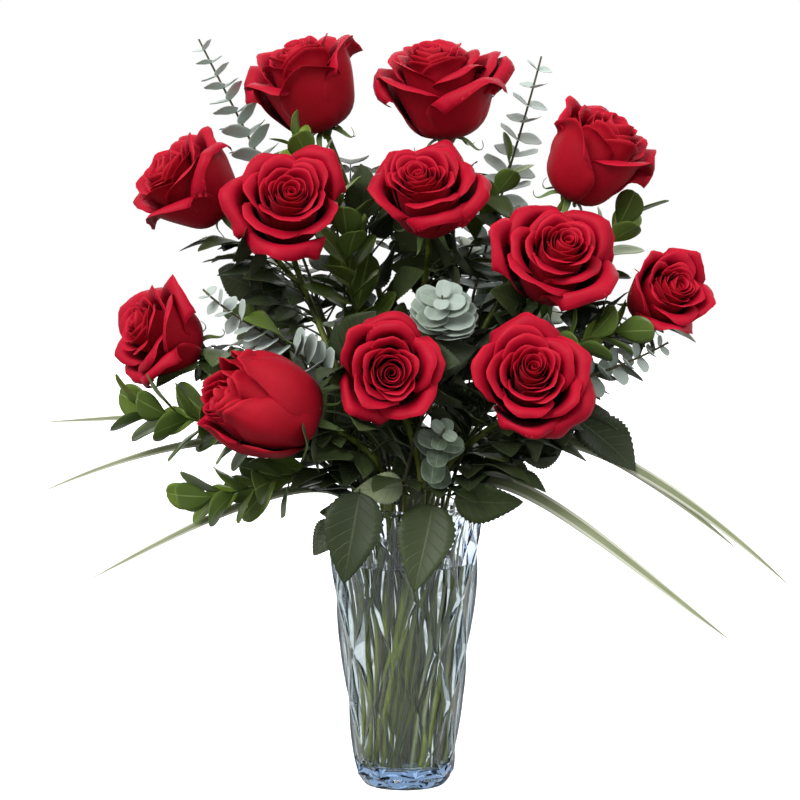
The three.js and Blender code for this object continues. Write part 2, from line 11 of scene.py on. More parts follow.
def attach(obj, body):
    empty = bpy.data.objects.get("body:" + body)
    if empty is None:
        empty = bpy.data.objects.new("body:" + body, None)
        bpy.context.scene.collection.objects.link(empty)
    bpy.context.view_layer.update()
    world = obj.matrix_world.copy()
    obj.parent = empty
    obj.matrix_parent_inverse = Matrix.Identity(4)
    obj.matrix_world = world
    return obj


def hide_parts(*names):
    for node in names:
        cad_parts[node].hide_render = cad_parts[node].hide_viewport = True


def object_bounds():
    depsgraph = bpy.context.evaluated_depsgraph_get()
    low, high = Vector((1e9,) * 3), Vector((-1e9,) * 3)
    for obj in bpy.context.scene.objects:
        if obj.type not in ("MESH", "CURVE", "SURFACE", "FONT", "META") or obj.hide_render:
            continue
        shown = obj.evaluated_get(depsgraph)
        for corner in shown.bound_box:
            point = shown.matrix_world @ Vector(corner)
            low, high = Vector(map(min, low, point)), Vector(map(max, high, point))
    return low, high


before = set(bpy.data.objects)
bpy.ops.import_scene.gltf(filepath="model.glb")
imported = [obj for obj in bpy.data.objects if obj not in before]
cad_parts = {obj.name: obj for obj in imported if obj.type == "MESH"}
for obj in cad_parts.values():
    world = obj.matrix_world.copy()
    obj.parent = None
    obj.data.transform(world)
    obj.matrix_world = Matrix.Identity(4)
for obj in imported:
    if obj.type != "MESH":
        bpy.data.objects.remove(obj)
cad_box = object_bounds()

# ---- Table, light and camera ----
# The bouquet stands on a plain white table before a white wall, and the room behind the camera is
# darker. One broad soft lamp stands in front, above and to the left, a weaker one to the right, and
# one behind. The camera looks almost level from 1.8 m in front.
FROM_ALL_SIDES, FROM_ABOVE = 0.59, 0.25  # the world's light on things, and what the ceiling adds to it
DARKER_ROOM = 0.85  # the share of it that reflections of the room behind the camera lose
LAMPS = [  # each with its turn about X, Y and Z, its strength, and how wide it is in degrees
    ("key_lamp", (52, -14, -24), 3.2, 40),
    ("fill_lamp", (60, 10, 48), 0.9, 60),
    ("back_lamp", (58, 0, 170), 1.5, 70),
]
TABLE_REACH = 30e3
CAMERA_PLACE, CAMERA_AIM = (0.0, -1.8, 0.4), (-0.0041, 0.0, 0.33)
scene = bpy.context.scene
scene.view_settings.view_transform = "Standard"


class Value:
    """A shader socket that takes part in Python sums as a number does."""

    def __init__(self, look, socket):
        self.look, self.socket = look, socket

    def math(self, operation, *others):
        sockets = dict(zip(("Value", "Value_001", "Value_002"), (self, *others)))
        return self.look.node("Math", {"operation": operation}, sockets)

    def __add__(self, other):
        return self.math("ADD", other)

    def __sub__(self, other):
        return self.math("SUBTRACT", other)

    def __rsub__(self, other):
        return self.math("MULTIPLY_ADD", -1.0, other)

    def __mul__(self, other):
        return self.math("MULTIPLY", other)

    def size(self):
        return self.math("ABSOLUTE")

    def within(self, low, high):
        """0 up to low and 1 from high on, with a smooth rise, or the reverse where high is the lower."""
        low_to_high = (0.0, 1.0) if low < high else (1.0, 0.0)
        return self.look.node("MapRange", {"interpolation_type": "SMOOTHSTEP"}, {
            "Value": self, "From Min": min(low, high), "From Max": max(low, high),
            "To Min": low_to_high[0], "To Max": low_to_high[1]})

    __radd__ = __add__
    __rmul__ = __mul__


class Look:
    """The nodes of a material or of the world."""

    def __init__(self, owner):
        owner.use_nodes = True
        self.owner, self.tree = owner, owner.node_tree
        self.tree.nodes.clear()

    def node(self, kind, settings=None, sockets=None, out=None):
        """Adds a node of one kind, set up first and then fed, and gives one of its outputs."""
        made = self.tree.nodes.new("ShaderNode" + kind)
        for name, value in (settings or {}).items():
            setattr(made, name, value)
        by_name = {s.identifier: s for s in made.inputs}
        for name, value in (sockets or {}).items():
            if isinstance(value, Value):
                self.tree.links.new(value.socket, by_name[name])
            else:
                by_name[name].default_value = value
        outputs = [s for s in made.outputs if s.identifier == (out or made.outputs[0].identifier)]
        return Value(self, outputs[0]) if outputs else made

    def mix(self, share, low, high):
        """A colour between two colours."""
        full = [value if isinstance(value, Value) else (*value, 1.0) for value in (low, high)]
        return self.node("Mix", {"data_type": "RGBA"}, {
            "Factor_Float": share, "A_Color": full[0], "B_Color": full[1]}, "Result_Color")

    def noise(self, scale, detail=3.0, stretch=(1.0, 1.0, 1.0)):
        """Cloudy values about 0.5; scale is how many blotches go on a metre."""
        place = self.node("TexCoord", out="Object")
        place = self.node("VectorMath", {"operation": "MULTIPLY"}, {"Vector": place, "Vector_001": stretch})
        return self.node("TexNoise", {}, {"Vector": place, "Scale": scale, "Detail": detail}, "Fac")

    def bump(self, height, strength, distance):
        return self.node("Bump", {}, {"Strength": strength, "Distance": distance, "Height": height})

    def finish(self, **shader):
        """Ends the tree in the shaders of its surface and its volume."""
        kind = "World" if isinstance(self.owner, bpy.types.World) else "Material"
        self.node("Output" + kind, {}, {name.title(): socket for name, socket in shader.items()})
        return self.owner


def mesh_piece(name, points, faces, material, crease=None, values=None):
    """Links a new object with points in millimetres. values holds an attribute's numbers for each point."""
    mesh = bpy.data.meshes.new(name)
    mesh.from_pydata((np.asarray(points, float) * 0.001).tolist(), [], [list(map(int, f)) for f in faces])
    for key, numbers in (values or {}).items():
        kind, field = ("FLOAT", "value") if numbers.ndim == 1 else ("FLOAT_VECTOR", "vector")
        mesh.attributes.new(key, kind, "POINT").data.foreach_set(field, numbers.astype(np.float32).ravel())
    mesh.shade_smooth()
    if crease:
        mesh.set_sharp_from_angle(angle=math.radians(crease))
    mesh.materials.append(material)
    made = bpy.data.objects.new(name, mesh)
    scene.collection.objects.link(made)
    return made


studio = Look(bpy.data.worlds.new("studio"))
direction = studio.node("TexCoord", out="Generated")
upward, away = (studio.node("SeparateXYZ", {}, {"Vector": direction}, axis) for axis in "ZY")
mirrored = studio.node("LightPath", out="Glossy Depth")
behind_camera = mirrored.math("MINIMUM", 1.0) * away.within(0.5, -0.3)
on_things = (FROM_ALL_SIDES + FROM_ABOVE * upward) * (1.0 - behind_camera * DARKER_ROOM)
bounced = (studio.node("LightPath", out="Diffuse Depth") + mirrored).math("MINIMUM", 1.0)
scene.world = studio.finish(surface=studio.node("Background", {}, {
    "Color": (1.0, 1.0, 1.0, 1.0), "Strength": 1.0 - bounced * (1.0 - on_things)}))

for name, turn, strength, width in LAMPS:
    lamp = bpy.data.objects.new(name, bpy.data.lights.new(name, "SUN"))
    lamp.data.energy, lamp.data.angle = strength, math.radians(width)
    lamp.rotation_euler = [math.radians(a) for a in turn]
    lamp.visible_transmission = name != "back_lamp"
    scene.collection.objects.link(lamp)

table = Look(bpy.data.materials.new("table_white"))
TABLE_WHITE = table.finish(surface=table.node("BsdfPrincipled", {}, {
    "Base Color": table.mix(table.noise(3.0), (0.93, 0.93, 0.935), (0.95, 0.95, 0.95)),
    "Roughness": 0.75, "Specular IOR Level": 0.2,
    "Emission Color": (1.0, 1.0, 1.0, 1.0), "Emission Strength": 0.35}))
corners = [(x * TABLE_REACH, y * TABLE_REACH, 0) for x, y in ((-1, -1), (1, -1), (1, 1), (-1, 1))]
floor = mesh_piece("table_top", corners, [(0, 1, 2, 3)], TABLE_WHITE)
floor.visible_diffuse = floor.visible_glossy = False

camera = bpy.data.objects.new("camera", bpy.data.cameras.new("camera"))
camera.location = CAMERA_PLACE
camera.rotation_euler = (Vector(CAMERA_AIM) - Vector(CAMERA_PLACE)).to_track_quat("-Z", "Y").to_euler()
camera.data.lens, camera.data.sensor_width = 94.5, 36.0
scene.collection.objects.link(camera)
scene.camera = camera


# ---- Vase ----
# Pressed lead glass, 240 mm tall, faintly blue. Nine columns of tall lozenges are cut round it, so that
# the ridges between them cross in a net, and shorter scoops run round its thick foot.
UNDERSIDE = [(12, 4.5), (22, 4), (28.5, 2.6), (31, 0.6), (32, 0), (34, 0)]  # radii and heights
SCOOPS = [(35.2, 0.6, 0.4), (37, 2.4, 1.6), (39, 5, 2.6), (40.8, 7.6, 2.4)]  # and how deep each is cut
CROSSINGS = np.array([  # heights and radii of the rows where the ridges cross
    (10, 42), (32, 45.5), (74, 50.5), (118, 56), (163, 61.5), (204, 65), (234, 66.5)])
RIM = [(66.5, 236.2, 1.2), (66.5, 238.2, 0), (66, 239.4, 0), (65, 240, 0), (62, 240, 0)]
VASE_INSIDE = [(60.6, 239.7), (60, 238.5), (49, 131), (37.5, 24), (36.2, 20.5), (33.5, 18), (30, 17)]
LOZENGES = 9
STEPS = 12  # points across each lozenge, and rings up half of one
ROUND = STEPS * LOZENGES
CUT_DEPTH, CUT_HOLLOW = 0.062, 0.7  # how deep a lozenge is as a share of the radius, and how sharp its ridges


def ring_faces(offsets):
    """Triangles between rings of equally many points, each ring turned by 0 or by half a step."""
    a, faces = np.arange(ROUND), []
    b = (a + 1) % ROUND
    for k, (lower, upper) in enumerate(zip(offsets, offsets[1:])):
        low, high = k * ROUND, (k + 1) * ROUND
        if (lower, upper) == (0, 1):
            faces += [np.stack([a + low, b + low, a + high], 1), np.stack([b + low, b + high, a + high], 1)]
        else:
            faces += [np.stack([a + low, b + low, b + high], 1), np.stack([a + low, b + high, a + high], 1)]
    last = (len(offsets) - 1) * ROUND
    return [*np.concatenate(faces).tolist(), a[::-1].tolist(), (a + last).tolist()]


def ring(radius, height, offset=0):
    a = (np.arange(ROUND) + offset / 2) * 2 * math.pi / ROUND
    return np.stack([radius * np.cos(a), radius * np.sin(a), np.full(ROUND, float(height))], 1)


def cut(level, offset=0):
    """How deep the lozenges are cut round one ring, as a share. Their ridges cross at whole levels."""
    turn = (np.arange(ROUND) + offset / 2) / STEPS
    both = np.abs(np.sin(math.pi * (turn + level / 2)) * np.sin(math.pi * (turn - level / 2)))
    return both ** CUT_HOLLOW


top = len(CROSSINGS) - 1
outside = [(ring(radius, height), 0) for radius, height in UNDERSIDE]
outside += [(ring(radius - depth * cut(1), height), 0) for radius, height, depth in SCOOPS]
for step in range(top * STEPS + 1):
    level, offset = step / STEPS, step % 2
    height, radius = (np.interp(level, range(top + 1), column) for column in CROSSINGS.T)
    outside.append((ring(radius * (1 - CUT_DEPTH * cut(level, offset)), height, offset), offset))
outside += [(ring(radius - depth * cut(top), height), 0) for radius, height, depth in RIM]
rings, offsets = zip(*outside, *((ring(radius, height), 0) for radius, height in VASE_INSIDE))

glass = Look(bpy.data.materials.new("blue_cut_glass"))
BLUE_CUT_GLASS = glass.finish(
    surface=glass.node("BsdfPrincipled", {}, {
        "Base Color": glass.mix(glass.noise(30.0), (0.90, 0.92, 0.94), (0.95, 0.965, 0.98)),
        "Roughness": 0.0, "IOR": 1.5, "Transmission Weight": 1.0}),
    volume=glass.node("VolumeAbsorption", {}, {"Color": (0.38, 0.57, 0.77, 1.0), "Density": 30.0}))
vase = mesh_piece("cut_glass_vase", np.concatenate(rings), ring_faces(offsets), BLUE_CUT_GLASS, crease=9)
vase.visible_shadow = False
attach(vase, "root")
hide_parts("vase")


# ---- Water ----
# Tap water fills the vase to 50 mm below the rim and creeps up the wall a little where it meets the
# glass. Its skin reaches a hair into the glass, so that light passes from one straight to the other.
WATER_HEIGHT = 190
INTO_WALL, INTO_FLOOR = 0.25, 0.2
wall = np.interp(WATER_HEIGHT, (24, 238.5), (37.5, 60))
edge = [(wall + 0.35, WATER_HEIGHT + 1), (wall - 1, WATER_HEIGHT + 0.3), (wall - 4, WATER_HEIGHT)]
rings = [ring(radius + INTO_WALL, height - INTO_FLOOR) for radius, height in VASE_INSIDE[:1:-1]]
rings += [ring(radius, height) for radius, height in edge]

# The water's faint olive tint is its own. It is made far darker than real water, though, as painted shade for
# the shadows between the crowded stems inside the vase.
water_look = Look(bpy.data.materials.new("olive_water_painted_shade"))
WATER_WITH_PAINTED_SHADE = water_look.finish(surface=water_look.node("BsdfPrincipled", {}, {
    "Base Color": water_look.mix(water_look.noise(12.0), (0.54, 0.55, 0.49), (0.58, 0.59, 0.53)),
    "Roughness": 0.0, "IOR": 1.333, "Transmission Weight": 1.0}))
water = mesh_piece("vase_water", np.concatenate(rings), ring_faces([0] * len(rings)), WATER_WITH_PAINTED_SHADE, crease=40)
water.visible_shadow = False
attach(water, "root")
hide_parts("water")


# ---- Rose stems ----
# Each green stem stands on the vase's floor, leans out over the rim with the twist of a hand-tied bunch,
# and bends up to its head. It has a few thorns and swells into the hip right under the bloom.
ROSES = [  # where the bloom's middle is, the way it looks, its size, how far it has opened, and its leaves
    ((-84, 30, 600), (-0.36, -0.3, 0.88), 0.968, 0.75, [(0.35, (-60, 95, 400))]),
    ((33, 10, 595), (-0.12, -0.36, 0.92), 0.983, 1.0, [(0.45, (30, 95, 470)), (0.25, (-15, 108, 330))]),
    ((-181, -10, 512), (-0.72, -0.38, 0.58), 0.903, 0.9, [(0.4, (-140, 60, 380))]),
    ((-97, -60, 493), (0.02, -0.86, 0.5), 0.908, 0.85, [(0.16, (-48, -92, 264))]),
    ((18, -50, 502), (-0.05, -0.76, 0.65), 0.938, 0.9, [(0.75, (46, -75, 458)), (0.5, (58, -60, 405))]),
    ((159, -10, 535), (0.5, -0.38, 0.78), 0.981, 0.6, [(0.4, (120, 80, 420))]),
    ((122, -70, 446), (0.1, -0.82, 0.56), 0.938, 0.85, [(0.45, (150, 40, 350))]),
    ((213, -50, 420), (0.35, -0.85, 0.4), 0.795, 0.7, [(0.4, (194, -50, 275))]),
    ((-203, -40, 384), (-0.8, -0.5, 0.25), 0.843, 0.95, [(0.4, (-160, 55, 300))]),
    ((-112, -110, 330), (-0.78, -0.52, 0.3), 1.101, 0.25, [(0.5, (-50, -100, 186))]),
    ((-13, -120, 359), (0.04, -0.98, 0.14), 0.885, 0.85, [(0.12, (-26, -110, 262))]),
    ((99, -110, 347), (0.0, -0.94, 0.32), 0.920, 0.93,
     [(0.22, (8, -102, 182)), (0.12, (116, -98, 262)), (0.35, (151, -78, 286))]),
]
EUCALYPTUS = [  # where the tip is and the way it points, the bare share, how many pairs of leaves, how long
    # and how pale they are, and how far they turn to the light
    ((-181, 55, 645), (-0.45, 0, 0.9), 0.62, 13, 28, 0.9, 0.15),
    ((119, 40, 628), (0.25, 0.05, 0.97), 0.36, 16, 32, 1.0, 0.9),
    ((218, -62, 380), (0.85, -0.1, 0.5), 0.5, 12, 22, 0.5, 1.0),
    ((30, -112, 418), (-0.1, -0.85, 0.5), 0.76, 10, 34, 0.25, 0.6),
    ((32, -122, 312), (0.2, -0.85, 0.5), 0.3, 9, 27, -0.15, 0.3),
    ((-167, -62, 424), (-0.7, 0, 0.7), 0.5, 12, 26, 0.8, 1.3),
    ((-60, 130, 470), (-0.2, 0.5, 0.85), 0.35, 12, 29, 0.6, -0.3),
]
MYRTLE = [  # the same up to the length, with single leaves for pairs, and how light the green is
    ((-47, -40, 480), (0.1, -0.1, 1), 0.35, 22, 49.4, 0.3),
    ((-96, -6, 556), (-0.6, -0.2, 0.75), 0.7, 14, 39, 0.9),
    ((192, 12, 492), (0.5, 0, 0.85), 0.55, 17, 46.8, 0.5),
    ((-216, -88, 326), (-0.95, -0.1, 0.3), 0.45, 22, 49.4, 0.35),
    ((-168, -84, 252), (-0.95, -0.1, -0.1), 0.35, 20, 44.2, 0.35),
    ((200, -62, 394), (0.9, 0, 0.1), 0.5, 17, 41.6, 0.55),
    ((96, 25, 545), (0.4, 0, 0.9), 0.62, 8, 33.8, 0.7),
    ((95, 125, 430), (0.45, 0.5, 0.75), 0.35, 22, 52, 0.4),
    ((-130, 120, 400), (-0.55, 0.45, 0.7), 0.35, 22, 52, 0.4),
]
GRASS = [  # two clumps, and for each blade its tip, the way it points, and how high its arch rises
    [((-301, -60, 314), (-1, 0, -0.05), 0.42), ((-299, -84, 257), (-0.9, 0, -0.42), 0.36),
     ((-258, -84, 186), (-0.9, 0, -0.5), 0.26)],
    [((322, -56, 176), (0.72, 0, -0.69), 0.5), ((281, -30, 205), (0.75, 0.05, -0.66), 0.6),
     ((267, -84, 136), (0.78, 0, -0.6), 0.35)],
]
BOWED = {  # sprays whose middle is pushed aside to keep clear of another piece
    "eucalyptus_1": (2.2, -7.5, 1.6), "eucalyptus_4": (1.8, -14.7, -6), "eucalyptus_5": (6.3, -1.6, -4.7),
    "eucalyptus_6": (6.2, -0.7, 5), "myrtle_1": (-3.2, 7.2, 1.6), "myrtle_2": (2.4, -7.6, -0.4),
    "myrtle_6": (-3.4, -15.6, 0.5),
}
FULLNESS = [1.12, 1.15, 1.1, 1.07, 1.03, 1.08, 1.06, 1.0, 1.08, 1.1, 1.0, 1.07]  # of each bloom
TWIST = math.radians(70)
GOLDEN_ANGLE = math.pi * (3 - math.sqrt(5))
FEET, NECK = (30, 18.5), (53, 240.0)  # radius and height of the bunch on the vase's floor and at its rim
BLOOM_MIDDLE, HIP_HEIGHT = 36, 9  # heights above the bloom's root, and of the hip below it
HIP = [(1.5, 2.8), (3.2, 4.3), (5.2, 5.7), (7.2, 6), (8.4, 5.5), (8.8, 5)]  # heights and radii
THORNS = 9
THORN = [((0, 0), 1.5), ((2.4, -0.6), 0.8), ((4.6, -2.2), 0.1)]  # steps out and along the stem, and radii


def unit(vector):
    vector = np.asarray(vector, float)
    return vector / np.linalg.norm(vector)


def draw(n):
    """A repeatable random number from 0 to 1 for each whole number."""
    x = math.sin(n * 12.9898 + 4.1414) * 43758.5453
    return x - math.floor(x)


def turned(point, angle):
    (x, y), c, s = point, math.cos(angle), math.sin(angle)
    return np.array([x * c - y * s, x * s + y * c])


def give_slots(ends):
    """Each stem's place in the bunch. They are set like a sunflower's seeds, and the stem that reaches
    furthest chooses first."""
    far, slots = [math.hypot(*end[:2]) for end in ends], {}
    free = [turned((math.sqrt((k + 0.5) / len(ends)), 0), k * GOLDEN_ANGLE) for k in range(len(ends))]
    for stem in sorted(range(len(ends)), key=lambda k: -far[k]):
        plan = np.array(ends[stem][:2], float) / max(far)
        plan = turned(plan / np.linalg.norm(plan) * math.sqrt(np.linalg.norm(plan)), -TWIST / 2)
        nearest = min(range(len(free)), key=lambda k: np.linalg.norm(free[k] - plan))
        slots[stem] = free.pop(nearest)
    return [slots[k] for k in range(len(ends))]


def bezier(knots, t):
    a, b, c, d = knots
    return a * (1 - t) ** 3 + 3 * b * t * (1 - t) ** 2 + 3 * c * t * t * (1 - t) + d * t ** 3


class Route:
    """A stem's line: straight from the vase's floor to the rim, then a bend to its end."""

    def __init__(self, name, slot, end, heads):
        self.foot = np.array([*turned(slot, -TWIST / 2) * FEET[0], FEET[1]])
        self.rim = np.array([*turned(slot, TWIST / 2) * NECK[0], NECK[1]])
        self.lean, end = unit(self.rim - self.foot), np.asarray(end, float)
        span = np.linalg.norm(end - self.rim)
        self.knots = [self.rim, self.rim + self.lean * 0.4 * span, end - unit(heads) * 0.35 * span, end]
        self.bow = np.array(BOWED.get(name, (0, 0, 0)), float)

    def in_vase(self, steps):
        return [self.foot * (1 - t) + self.rim * t for t in np.linspace(0, 1, steps)]

    def at(self, t):
        """The point at a share of the stem's length above the rim."""
        return bezier(self.knots, t) + self.bow * 16 * t * t * (1 - t) ** 2

    def heading(self, t):
        return unit(self.at(min(t + 0.02, 1)) - self.at(max(t - 0.02, 0)))


def tube_rings(points, sides, radii):
    """Rings of a tube round points: an array of rings, sides and coordinates."""
    points = np.asarray(points, float)
    side, rings = np.array([0.31, 0.95, 0.05]), []
    angles = 2 * math.pi * np.arange(sides) / sides
    for k, point in enumerate(points):
        along = unit(points[min(k + 1, len(points) - 1)] - points[max(k - 1, 0)])
        side = unit(side - along * side.dot(along))
        other = np.cross(along, side)
        rings.append(point + radii[k] * (np.outer(np.cos(angles), side) + np.outer(np.sin(angles), other)))
    return np.array(rings)


def tube_walls(rings, sides):
    k = np.arange(sides)
    after = (k + 1) % sides
    wall = np.stack([k, after, after + sides, k + sides], 1)
    return [face for row in range(rings - 1) for face in (wall + row * sides).tolist()]


class Growth:
    """Gathers the solids of one piece: their points, faces, and what the material reads at each point."""

    def __init__(self):
        self.points, self.faces, self.blade, self.side, self.count = [], [], [], [], 0

    def add(self, points, faces, blade, side=None):
        points = np.asarray(points, float).reshape(-1, 3)
        self.points.append(points)
        self.faces += [[k + self.count for k in face] for face in faces]
        self.blade.append(np.broadcast_to(np.asarray(blade, float).reshape(-1, 3), points.shape))
        self.side.append(np.ones(len(points)) if side is None else side)
        self.count += len(points)

    def tube(self, line, radii, sides, tone=0.5):
        ends = [list(range(sides - 1, -1, -1)), list(range((len(line) - 1) * sides, len(line) * sides))]
        along = np.repeat(np.linspace(0, 1, len(line)), sides)
        self.add(tube_rings(line, sides, radii), ends + tube_walls(len(line), sides),
                 np.stack([0 * along, along, 0 * along + tone], 1))

    def sheet(self, grid, thickness, tone, thin=0.6):
        """A closed solid round a grid of points, rows from root to tip. thin is what its edges keep."""
        rows, columns = grid.shape[:2]
        normal = np.cross(np.gradient(grid, axis=1), np.gradient(grid, axis=0))
        normal /= np.linalg.norm(normal, axis=2, keepdims=True) + 1e-9
        half = np.full((rows, columns, 1), thickness / 2)
        half[-1] *= thin
        half[:, 0] *= thin
        half[:, -1] *= thin
        n, k = rows * columns, np.arange(rows * columns).reshape(rows, columns)
        quads = np.stack([k[:-1, :-1], k[:-1, 1:], k[1:, 1:], k[1:, :-1]], 2).reshape(-1, 4)
        rim = np.concatenate([k[0, :], k[1:, -1], k[-1, -2::-1], k[-2:0:-1, 0]])
        after = np.roll(rim, -1)
        faces = np.concatenate([quads, quads[:, ::-1] + n, np.stack([rim, rim + n, after + n, after], 1)])
        across, along = np.meshgrid(np.linspace(-1, 1, columns), np.linspace(0, 1, rows))
        blade = np.stack([across, along, np.full_like(along, tone)], 2).reshape(-1, 3)
        self.add(np.concatenate([grid + normal * half, grid - normal * half]), faces.tolist(),
                 np.concatenate([blade, blade]), np.repeat([0.0, 1.0], n))

    def piece(self, name, node, slot, material, crease=None):
        made = mesh_piece(name, np.concatenate(self.points), self.faces, material, crease=crease, values={
            "blade": np.concatenate(self.blade), "upper": np.concatenate(self.side)})
        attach(made, "root")
        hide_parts(node)
        return made


def place_of(rose, fullness=1.0):
    """The bloom's root, its axes, and the end of its stem."""
    at, heads, size = rose[0], rose[1], rose[2] * fullness
    z = unit(heads)
    x = unit(np.array([1.0, 0, 0]) - z * z[0])
    base = np.array(at, float) - z * BLOOM_MIDDLE * size
    return base, np.array([x, np.cross(z, x), z]), base - z * HIP_HEIGHT


PLACES = [place_of(rose, fullness) for rose, fullness in zip(ROSES, FULLNESS)]
NAMES = [f"rose_{k + 1:02d}" for k in range(len(ROSES))]
for kind, sprays in (("eucalyptus", EUCALYPTUS), ("myrtle", MYRTLE), ("lily_grass", GRASS)):
    NAMES += [f"{kind}_{k + 1}" for k in range(len(sprays))]
tips = [spray[0] for spray in EUCALYPTUS + MYRTLE] + [clump[0][0] for clump in GRASS]
heads = [axes[2] for _, axes, _ in PLACES] + [spray[1] for spray in EUCALYPTUS + MYRTLE]
heads += [(0, 0, 1)] * len(GRASS)
slots = give_slots([place_of(rose)[2] for rose in ROSES] + tips)
ends = [end for _, _, end in PLACES] + tips
ROUTES = {name: Route(name, *rest) for name, *rest in zip(NAMES, slots, ends, heads)}

stem_look = Look(bpy.data.materials.new("rose_stem_green"))
streaks = stem_look.noise(90.0, 4.0, (1, 1, 0.15))
green = stem_look.mix(streaks.within(0.35, 0.7), (0.045, 0.065, 0.007), (0.19, 0.235, 0.024))
spots = stem_look.noise(420.0).within(0.62, 0.72)
green = stem_look.mix(spots * 0.5, green, (0.11, 0.06, 0.02))
STEM_GREEN = stem_look.finish(surface=stem_look.node("BsdfPrincipled", {}, {
    "Base Color": green, "Roughness": 0.45, "Specular IOR Level": 0.4,
    "Normal": stem_look.bump(streaks, 0.3, 0.0004)}))

for k, (_, axes, end) in enumerate(PLACES):
    route, stalk = ROUTES[NAMES[k]], Growth()
    line = route.in_vase(7)[:-1] + [route.at(t) for t in np.linspace(0, 1, 17)]
    radii = np.interp(np.arange(len(line)), (0, 6, len(line) - 1), (3.0, 3.0, 2.5))
    stalk.tube(line + [end + axes[2] * up for up, _ in HIP], [*radii, *(radius for _, radius in HIP)], 10)
    for n in range(THORNS):
        t = 0.1 + 0.78 * draw(40 * k + n)
        heading = route.heading(t)
        out = unit(np.cross(heading, (math.cos(7 * n + k), math.sin(7 * n + k), 0.3)))
        root = route.at(t) + out * 1.6
        stalk.tube([root + out * side + heading * up for (side, up), _ in THORN], [r for _, r in THORN], 6)
    stalk.piece(f"rose_stalk_{k + 1:02d}", f"{NAMES[k]}_stem", "rose_green", STEM_GREEN)


# ---- Rose blooms ----
# Some two dozen velvety petals on the hip, each further round by two fifths of a turn. The inner ones
# stand furled in a cup round the heart, and the outer ones roll their lips back, their sides first.
PETALS = 25
PETAL_TURN, PETAL_SCATTER = 144, 26  # degrees from petal to petal, and how far that may be out
PETAL_ROWS, PETAL_COLUMNS = 19, 15
PETAL_THICKNESS = 0.5
HEART_DRIFT = 6.5  # how far the heart leans over at 60 mm up
SEEDS = {5: 12, 7: 22}  # blooms whose petals are drawn from another place than their own number


def smooth(x):
    x = np.clip(x, 0, 1)
    return x * x * (3 - 2 * x)


def petal_sheet(s, opened, azimuth, chance, drift):
    """The middle surface of one petal. s is 0 at the heart and 1 outside.

    Each column is summed up step by step from how far the petal leans out there: out of the hip, up
    the wall of the cup, shut over the heart in a bud, and back in the lip. Then the petal is rippled
    and its sides are rolled, and it is wrapped round the bloom."""
    u = np.linspace(-1, 1, PETAL_COLUMNS)[None, :]
    steps = 3 * (PETAL_ROWS - 1)
    t = ((np.arange(steps) + 0.5) / steps)[:, None]
    outer, bare = smooth((s - 0.6) / 0.4), smooth((s - 0.78) / 0.2)
    length = (69 + 9 * s + 5 * s * s + 12 * (1 - opened) * (1 - 0.5 * s)) * (0.95 + 0.1 * chance[0])
    length = length * (1 - 0.22 * np.abs(u) ** 2.2 + 0.045 * s * np.exp(-(u / 0.2) ** 2))
    wall = 0.05 + 0.1 * s + 0.25 * opened * outer + 0.15 * opened * s * (chance[2] - 0.5)
    shut = 1.1 * (1 - opened) * (0.3 + 0.7 * s) * smooth((t - 0.45) / 0.5)
    start = 0.9 - (0.06 + 0.12 * chance[3]) * s - 0.06 * bare * u ** 2
    lip = (0.1 + 2.3 * opened * s ** 1.3) * (0.65 + 0.7 * chance[1])
    lip = lip * (1 - 0.15 * bare + (0.7 * bare - 0.35) * np.abs(u) ** 1.5
                 + 0.15 * np.sin(4.5 * u + 6.28 * chance[2]))
    lean = (1.5 + (wall - 1.5) * smooth(t / (0.12 + 0.33 * s)) - shut
            + lip * smooth((t - start) / (0.85 * (1 - start))))
    r = np.vstack([0 * u, np.cumsum(np.sin(lean) * length / steps, 0)])[::3] + 2 + 4 * s
    z = np.vstack([0 * u, np.cumsum(np.cos(lean) * length / steps, 0)])[::3] + 3 * (1 - s)
    v = np.linspace(0, 1, PETAL_ROWS)[:, None]
    ripple = 0.6 * np.sin(7 * u + 9 * chance[3]) + 0.4 * np.sin(13 * u + 5 * chance[1])
    r = r + ripple * smooth((v - 0.75) / 0.25) * (0.3 + s) + (0.6 + 0.9 * s) * u * smooth(v / 0.4)
    roll = smooth((np.abs(u) - 0.55) / 0.45) * bare * smooth((v - 0.3) / 0.4)
    r = r + 5 * roll + 0.02 * r * u ** 2 * s * smooth(v / 0.4)
    half = (2.2 - 1.15 * s ** 0.5) * (0.8 + 0.2 * smooth(v / 0.5)) * (0.92 + 0.16 * chance[3])
    half = half * (1 - 0.4 * smooth((v - 0.62) / 0.38) ** 1.5 * s) * (1 - 0.08 * roll)
    angle = azimuth + half * u + 0.3 * (chance[1] - 0.5) * s * v ** 2
    shift = HEART_DRIFT * (1 - s) * z / 60
    return np.stack([r * np.cos(angle) + shift * drift[0], r * np.sin(angle) + shift * drift[1], z], 2)


def heart_sheet(turn, drift):
    """The innermost petals as one scroll."""
    a = np.linspace(0, 3.3 * 2 * math.pi, 70)[None, :]
    v = np.linspace(0, 1, 14)[:, None]
    r = 1.0 + 2.0 * a / (2 * math.pi) + 0.5 * np.sin(a * 1.3) * v
    r = r * (0.8 + 0.25 * v) * (1 + 0.16 * smooth((v - 0.85) / 0.15))
    z = 6 + (60 + 7 * a / 20.7) * v * (1 - 0.04 * np.sin(a * 0.7 + 1))
    shift = HEART_DRIFT * z / 60
    return np.stack([r * np.cos(a + turn) + shift * drift[0], r * np.sin(a + turn) + shift * drift[1], z], 2)


def blade_parts(look):
    """What a piece grown from sheets and tubes says of each point: across, along, tone, and upper side."""
    blade = look.node("Attribute", {"attribute_name": "blade"}, {}, "Vector")
    return [look.node("SeparateXYZ", {}, {"Vector": blade}, axis) for axis in "XYZ"] + [
        look.node("Attribute", {"attribute_name": "upper"}, {}, "Fac")]


